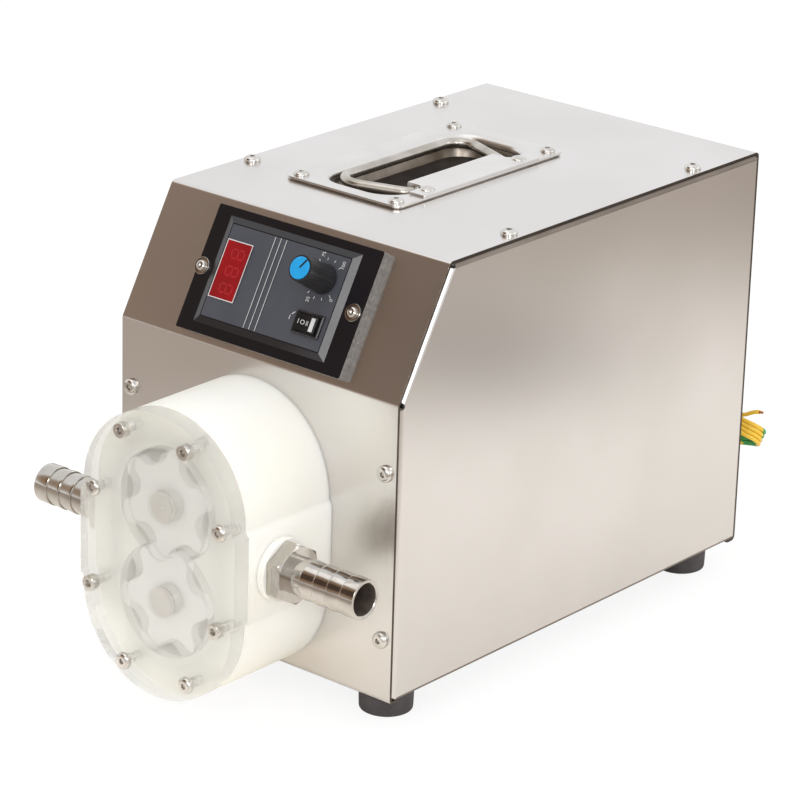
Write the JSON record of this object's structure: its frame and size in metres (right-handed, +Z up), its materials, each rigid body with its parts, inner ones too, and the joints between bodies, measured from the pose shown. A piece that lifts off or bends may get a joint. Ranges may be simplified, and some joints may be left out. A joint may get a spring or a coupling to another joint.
{
  "type": "gear transfer pump",
  "caption": "Bench gear pump: clear-fronted plastic gear head with steel hose tails on a stainless drive box with speed panel and folding handle.",
  "frame": {"origin": "on the ground under the middle of the pump, at the soles of the feet", "axes": "+Z up, -Y towards the clear pump cover and the controls, +X to the right seen from the front"},
  "size_m": [0.2296, 0.4248, 0.2587],
  "materials": {
    "housing_steel": "fine brushed stainless sheet",
    "handle_steel": "pressed stainless",
    "bail_steel": "polished round bar",
    "screw_steel": "polished stainless screws",
    "fitting_steel": "turned and polished stainless",
    "foot_rubber": "dull dark grey rubber",
    "frame_plastic": "black moulded plastic",
    "face_film": "printed slate grey film",
    "display_red": "deep red display filter",
    "knob_plastic": "black knob",
    "cap_blue": "bright blue cap",
    "switch_plastic": "black switch",
    "pump_white": "ivory white machined plastic",
    "clear_cover": "clear cover plate",
    "gear_white": "white gear plastic",
    "seal_rubber": "pale soft seal",
    "shaft_steel": "ground shaft steel",
    "bush_plastic": "plain bearing plastic",
    "plate_steel": "dark coated steel plate",
    "coupling_alu": "turned aluminium",
    "spider_red": "elastic spider",
    "gearbox_alu": "cast and painted gearbox",
    "motor_paint": "black painted motor",
    "board_green": "green circuit board",
    "board_dark": "dark board parts",
    "inlet_plastic": "black inlet and fuse holder",
    "wire_jacket": "green and yellow lead",
    "lug_brass": "tinned lug",
    "tie_white": "white cable tie"
  },
  "bodies": {
    "drive_box": {"chassis": "housing_steel", "wrap": "housing_steel", "wrap_screws": "screw_steel", "feet": "foot_rubber", "foot_screws": "screw_steel", "handle_plate": "handle_steel", "handle_strip": "handle_steel", "handle_saddles": "handle_steel", "handle_rivets": "screw_steel", "handle_screws": "screw_steel", "panel_frame": "frame_plastic", "case_back": "frame_plastic", "panel_face": "face_film", "display_window": "display_red", "panel_screws": "screw_steel", "panel_washers": "screw_steel", "potentiometer": "knob_plastic", "switch_body": "switch_plastic", "pump_body": "pump_white", "pump_cover": "clear_cover", "cover_seal": "seal_rubber", "cover_cap_screws": "screw_steel", "cover_button_screws": "screw_steel", "bushings": "bush_plastic", "shaft_seal": "foot_rubber", "port_washers": "tie_white", "hose_tail_left": "fitting_steel", "hose_tail_right": "fitting_steel", "mount_plate": "plate_steel", "head_screws": "screw_steel", "motor_bracket": "plate_steel", "bracket_screws": "screw_steel", "gearbox": "gearbox_alu", "motor": "motor_paint", "board_spacers": "lug_brass", "power_board": "board_green", "board_parts": "board_dark", "mains_inlet": "inlet_plastic", "inlet_screws": "screw_steel", "fuse_holder": "inlet_plastic", "earth_stud": "screw_steel", "earth_lug": "lug_brass", "earth_wire": "wire_jacket", "earth_coil": "wire_jacket", "coil_tie": "tie_white"},
    "drive_rotor": {"drive_gear": "gear_white", "drive_key": "shaft_steel", "drive_shaft": "shaft_steel", "pump_hub": "coupling_alu", "coupling_spider": "spider_red", "motor_hub": "coupling_alu", "gearbox_shaft": "shaft_steel"},
    "idle_rotor": {"idle_gear": "gear_white", "idle_key": "shaft_steel", "idle_shaft": "shaft_steel"},
    "knob": {"speed_knob": "knob_plastic", "knob_cap": "cap_blue", "pot_shaft": "shaft_steel"},
    "rocker": {"switch_rocker": "switch_plastic"},
    "bail": {"handle_bail": "bail_steel"}
  },
  "joints": [
    {"name": "drive_spin", "type": "hinge", "parent": "drive_box", "child": "drive_rotor", "pos_m": [0, -0.16485, 0.0678], "axis": [0, 1, 0], "continuous": true},
    {"name": "idle_spin", "type": "hinge", "parent": "drive_box", "child": "idle_rotor", "pos_m": [0, -0.16485, 0.1218], "axis": [0, 1, 0], "continuous": true},
    {"name": "knob_turn", "type": "hinge", "parent": "drive_box", "child": "knob", "pos_m": [0.0298, -0.11181, 0.23807], "axis": [0, -0.8709, 0.4915], "range_deg": [-13, 257]},
    {"name": "rocker_tilt", "type": "hinge", "parent": "drive_box", "child": "rocker", "pos_m": [0.0304, -0.11369, 0.21032], "axis": [0, 0.4915, 0.8709], "range_deg": [-10, 10]},
    {"name": "bail_lift", "type": "hinge", "parent": "drive_box", "child": "bail", "pos_m": [0.0048, 0.03555, 0.2525], "axis": [0, 1, 0], "range_deg": [0, 120]}
  ],
  "couplings": [
    {"joint": "idle_spin", "follows": "drive_spin", "ratio": -1}
  ]
}
